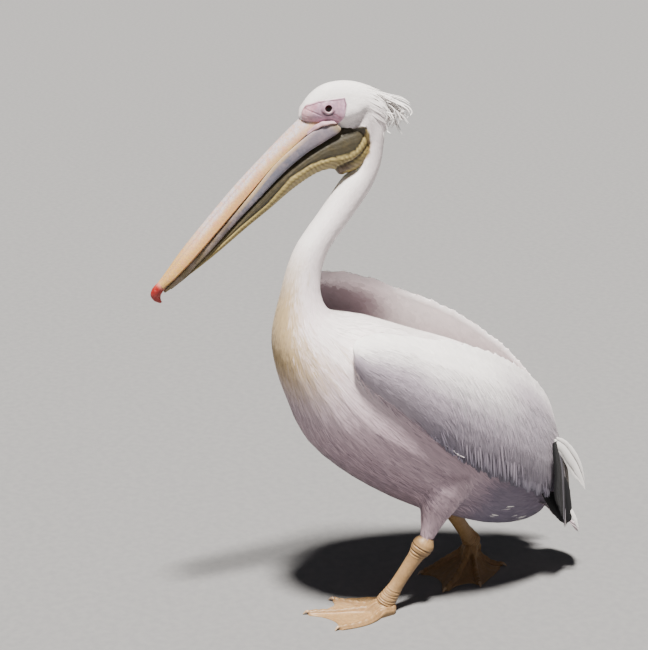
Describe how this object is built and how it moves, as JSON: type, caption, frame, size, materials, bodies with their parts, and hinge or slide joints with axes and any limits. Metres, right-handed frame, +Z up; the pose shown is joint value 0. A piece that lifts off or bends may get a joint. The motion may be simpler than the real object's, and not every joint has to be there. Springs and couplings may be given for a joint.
{
  "type": "great white pelican model",
  "caption": "Life-size standing great white pelican with a long pouched bill, folded wings and webbed feet, its head turned slightly to one side.",
  "frame": {"origin": "on the floor under the middle of the bird's bounding box", "axes": "+Z up, the bird's body faces -Y and its left side is at +X"},
  "size_m": [0.3154, 0.8384, 1.0048],
  "materials": {
    "down_feathers": "matt pinkish-white feathers",
    "wing_feathers": "silver-white feathers",
    "flight_feathers": "slate-black feathers with a dull sheen",
    "white_plumes": "soft white plumes",
    "bill_horn": "satin horn, pink and cream",
    "bill_nail": "glossy red horn",
    "jaw_skin": "satin blue-grey skin",
    "pouch_skin": "wrinkled yellow skin",
    "eye": "wet and dark",
    "leg_skin": "scaly peach-yellow skin",
    "claw": "satin horn"
  },
  "bodies": {
    "root": {"bill_nail": "bill_nail", "bill_upper": "bill_horn", "breast": "down_feathers", "claw_left_hallux": "claw", "claw_left_inner": "claw", "claw_left_middle": "claw", "claw_left_outer": "claw", "claw_right_hallux": "claw", "claw_right_inner": "claw", "claw_right_middle": "claw", "claw_right_outer": "claw", "crest": "white_plumes", "eye_left": "eye", "eye_right": "eye", "foot_left": "leg_skin", "foot_right": "leg_skin", "head": "down_feathers", "jaw_left": "jaw_skin", "jaw_right": "jaw_skin", "neck_lower": "down_feathers", "neck_middle": "down_feathers", "neck_upper": "down_feathers", "plume_left": "white_plumes", "plume_right": "white_plumes", "pouch": "pouch_skin", "primaries_left": "flight_feathers", "primaries_right": "flight_feathers", "rump": "down_feathers", "shank_left": "leg_skin", "shank_right": "leg_skin", "tail": "white_plumes", "thigh_left": "down_feathers", "thigh_right": "down_feathers", "trunk": "down_feathers", "wing_left": "wing_feathers", "wing_right": "wing_feathers"}
  },
  "joints": []
}
